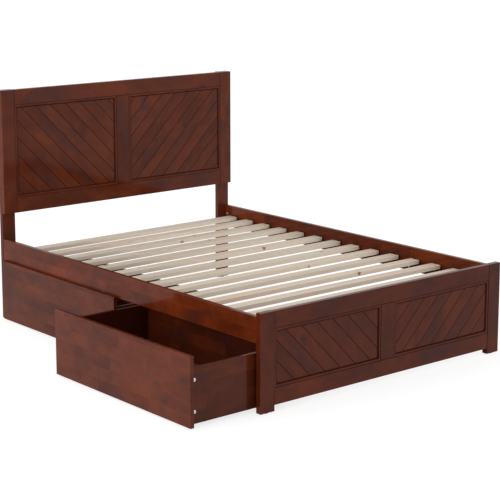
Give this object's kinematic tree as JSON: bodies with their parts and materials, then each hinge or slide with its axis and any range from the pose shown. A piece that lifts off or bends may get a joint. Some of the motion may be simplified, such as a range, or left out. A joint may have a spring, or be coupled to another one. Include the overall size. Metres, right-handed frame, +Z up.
{
  "type": "platform bed with storage drawers",
  "caption": "Slatted platform bed with a chevron-planked headboard and footboard, and two rolling storage drawers under one side.",
  "frame": {"origin": "on the floor, at the middle of the bed frame's plan", "axes": "+Z up, +Y towards the headboard, +X to the right when facing the headboard; the drawers are on the -X side"},
  "size_m": [1.7563, 1.9816, 1.1375],
  "materials": {
    "walnut_stain": "glossy red-brown stained hardwood",
    "pale_pine": "bare sanded pine",
    "plywood": "stained plywood",
    "zinc_steel": "zinc plated",
    "black_nylon": "moulded nylon"
  },
  "bodies": {
    "bed_frame": {"headboard_leg_left": "walnut_stain", "headboard_leg_right": "walnut_stain", "headboard_stile_left": "walnut_stain", "headboard_stile_right": "walnut_stain", "headboard_centre_stile": "walnut_stain", "headboard_top_rail": "walnut_stain", "headboard_bottom_rail": "walnut_stain", "headboard_panel_left": "walnut_stain", "headboard_panel_right": "walnut_stain", "headboard_mouldings": "walnut_stain", "footboard_leg_left": "walnut_stain", "footboard_leg_right": "walnut_stain", "footboard_centre_stile": "walnut_stain", "footboard_top_rail": "walnut_stain", "footboard_bottom_rail": "walnut_stain", "footboard_panel_left": "walnut_stain", "footboard_panel_right": "walnut_stain", "footboard_mouldings": "walnut_stain", "side_rail_left": "walnut_stain", "side_rail_right": "walnut_stain", "slat_cleat_left": "walnut_stain", "slat_cleat_right": "walnut_stain", "slat_01": "pale_pine", "slat_02": "pale_pine", "slat_03": "pale_pine", "slat_04": "pale_pine", "slat_05": "pale_pine", "slat_06": "pale_pine", "slat_07": "pale_pine", "slat_08": "pale_pine", "slat_09": "pale_pine", "slat_10": "pale_pine", "slat_11": "pale_pine", "slat_12": "pale_pine", "slat_13": "pale_pine", "slat_14": "pale_pine", "slat_pegs": "pale_pine", "rail_cam_fittings": "zinc_steel", "wood_screws": "zinc_steel", "floor_glides": "black_nylon"},
    "foot_drawer": {"foot_drawer_front": "walnut_stain", "foot_drawer_side_near": "walnut_stain", "foot_drawer_side_far": "walnut_stain", "foot_drawer_back": "walnut_stain", "foot_drawer_bottom": "plywood", "foot_drawer_fittings": "zinc_steel", "foot_drawer_wheel_brackets": "zinc_steel", "foot_drawer_wheel_pins": "zinc_steel"},
    "foot_drawer_front_wheel_pair": {"foot_drawer_front_wheels": "black_nylon"},
    "foot_drawer_rear_wheel_pair": {"foot_drawer_rear_wheels": "black_nylon"},
    "head_drawer": {"head_drawer_front": "walnut_stain", "head_drawer_side_near": "walnut_stain", "head_drawer_side_far": "walnut_stain", "head_drawer_back": "walnut_stain", "head_drawer_bottom": "plywood", "head_drawer_fittings": "zinc_steel", "head_drawer_wheel_brackets": "zinc_steel", "head_drawer_wheel_pins": "zinc_steel"},
    "head_drawer_front_wheel_pair": {"head_drawer_front_wheels": "black_nylon"},
    "head_drawer_rear_wheel_pair": {"head_drawer_rear_wheels": "black_nylon"}
  },
  "joints": [
    {"name": "foot_drawer_slide", "type": "slide", "parent": "bed_frame", "child": "foot_drawer", "axis": [-1, 0, 0], "range_m": [-0.3115, 0.15]},
    {"name": "foot_drawer_front_wheel_roll", "type": "hinge", "parent": "foot_drawer", "child": "foot_drawer_front_wheel_pair", "pos_m": [-0.9619, -0.4813, 0.018], "axis": [0, -1, 0], "continuous": true},
    {"name": "foot_drawer_rear_wheel_roll", "type": "hinge", "parent": "foot_drawer", "child": "foot_drawer_rear_wheel_pair", "pos_m": [-0.6149, -0.4813, 0.018], "axis": [0, -1, 0], "continuous": true},
    {"name": "head_drawer_slide", "type": "slide", "parent": "bed_frame", "child": "head_drawer", "axis": [-1, 0, 0], "range_m": [0, 0.4615]},
    {"name": "head_drawer_front_wheel_roll", "type": "hinge", "parent": "head_drawer", "child": "head_drawer_front_wheel_pair", "pos_m": [-0.6504, 0.4767, 0.018], "axis": [0, -1, 0], "continuous": true},
    {"name": "head_drawer_rear_wheel_roll", "type": "hinge", "parent": "head_drawer", "child": "head_drawer_rear_wheel_pair", "pos_m": [-0.3034, 0.4767, 0.018], "axis": [0, -1, 0], "continuous": true}
  ],
  "couplings": [
    {"joint": "foot_drawer_front_wheel_roll", "follows": "foot_drawer_slide", "rad_per_m": 55.556},
    {"joint": "foot_drawer_rear_wheel_roll", "follows": "foot_drawer_slide", "rad_per_m": 55.556},
    {"joint": "head_drawer_front_wheel_roll", "follows": "head_drawer_slide", "rad_per_m": 55.556},
    {"joint": "head_drawer_rear_wheel_roll", "follows": "head_drawer_slide", "rad_per_m": 55.556}
  ]
}
